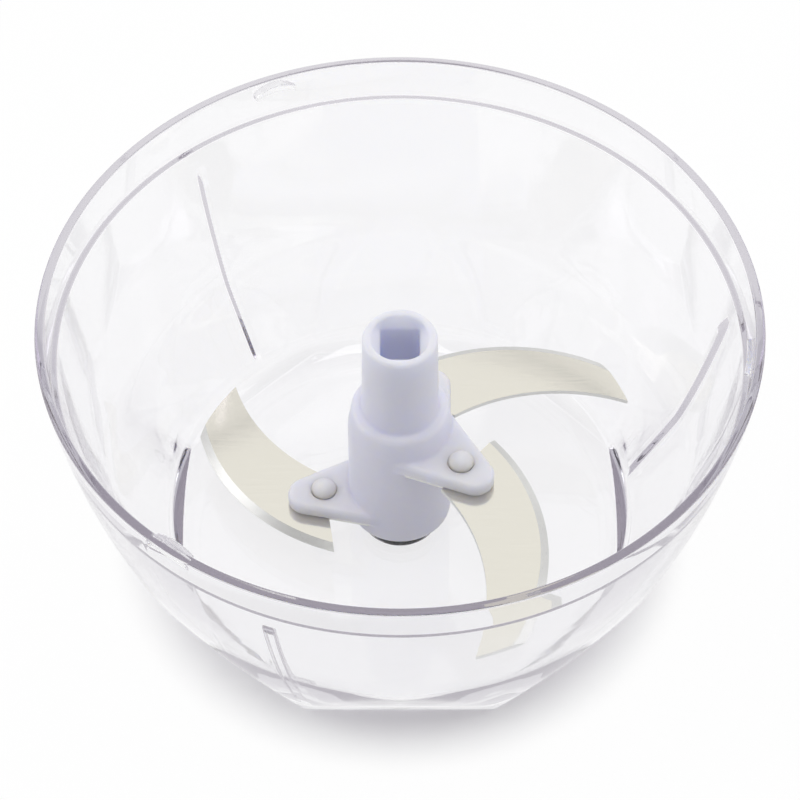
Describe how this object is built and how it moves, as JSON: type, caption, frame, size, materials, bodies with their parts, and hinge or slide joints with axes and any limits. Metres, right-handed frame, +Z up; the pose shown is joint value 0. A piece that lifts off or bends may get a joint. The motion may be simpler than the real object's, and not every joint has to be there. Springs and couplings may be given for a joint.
{
  "type": "pull-string food chopper",
  "caption": "Clear round bowl with a white blade hub turning on a pin, curved steel blades on stepped arms, and a lid with pull cord, reel and square drive laid upside down beside it.",
  "frame": {"origin": "middle of the bowl's foot, on the table", "axes": "+Z up along the bowl's axis, +X towards the lid that lies beside the bowl, -Y towards the viewer"},
  "size_m": [0.3034, 0.142, 0.068],
  "materials": {
    "clear_plastic": "clear moulded plastic, polished",
    "white_plastic": "moulded, soft sheen",
    "natural_plastic": "moulded, matt",
    "blade_steel": "polished sheet, ground edge",
    "plain_steel": "plain bright steel",
    "silicone": "soft, matt",
    "cord": "braided"
  },
  "bodies": {
    "bowl": {"bowl": "clear_plastic", "pivot_pin": "plain_steel"},
    "pin_bush": {"pin_bush": "natural_plastic"},
    "blade_unit": {"blade_hub": "white_plastic", "blade_top": "blade_steel", "blade_middle": "blade_steel", "blade_bottom": "blade_steel", "blade_stakes": "white_plastic"},
    "lid": {"lid_base": "white_plastic", "lid_cover": "white_plastic", "lid_seal": "silicone", "cover_screws": "plain_steel", "cord_guide": "natural_plastic", "coupler_bush": "natural_plastic", "reel_axle": "plain_steel", "reel_washer": "plain_steel", "reel_screw": "plain_steel"},
    "pull_handle": {"pull_handle": "white_plastic", "handle_plug": "white_plastic", "pull_cord": "cord"},
    "reel": {"reel": "natural_plastic", "cord_winding": "cord", "recoil_spring": "plain_steel", "spring_cover": "natural_plastic", "pawl_ring": "plain_steel"},
    "drive_coupler": {"drive_coupler": "white_plastic"}
  },
  "joints": [
    {"name": "blade_lift", "type": "slide", "parent": "bowl", "child": "pin_bush", "axis": [0, 0, 1], "range_m": [0, 0.075]},
    {"name": "blade_spin", "type": "hinge", "parent": "pin_bush", "child": "blade_unit", "pos_m": [0, 0, 0.0072], "axis": [0, 0, 1], "continuous": true},
    {"name": "lid_lift", "type": "slide", "parent": "bowl", "child": "lid", "axis": [0, 0, 1], "range_m": [0, 0.12]},
    {"name": "handle_pull", "type": "slide", "parent": "lid", "child": "pull_handle", "axis": [1, 0, 0], "range_m": [0, 0.042], "stiffness_N_per_m": 120, "springref_m": -0.02},
    {"name": "reel_spin", "type": "hinge", "parent": "lid", "child": "reel", "pos_m": [0.162, 0, 0.015], "axis": [0, 0, -1], "range_deg": [0, 175]},
    {"name": "coupler_spin", "type": "hinge", "parent": "lid", "child": "drive_coupler", "pos_m": [0.162, 0, 0.03], "axis": [0, 0, -1], "range_deg": [0, 175]}
  ],
  "couplings": [
    {"joint": "reel_spin", "follows": "handle_pull", "rad_per_m": 70.922},
    {"joint": "coupler_spin", "follows": "handle_pull", "rad_per_m": 70.922}
  ]
}
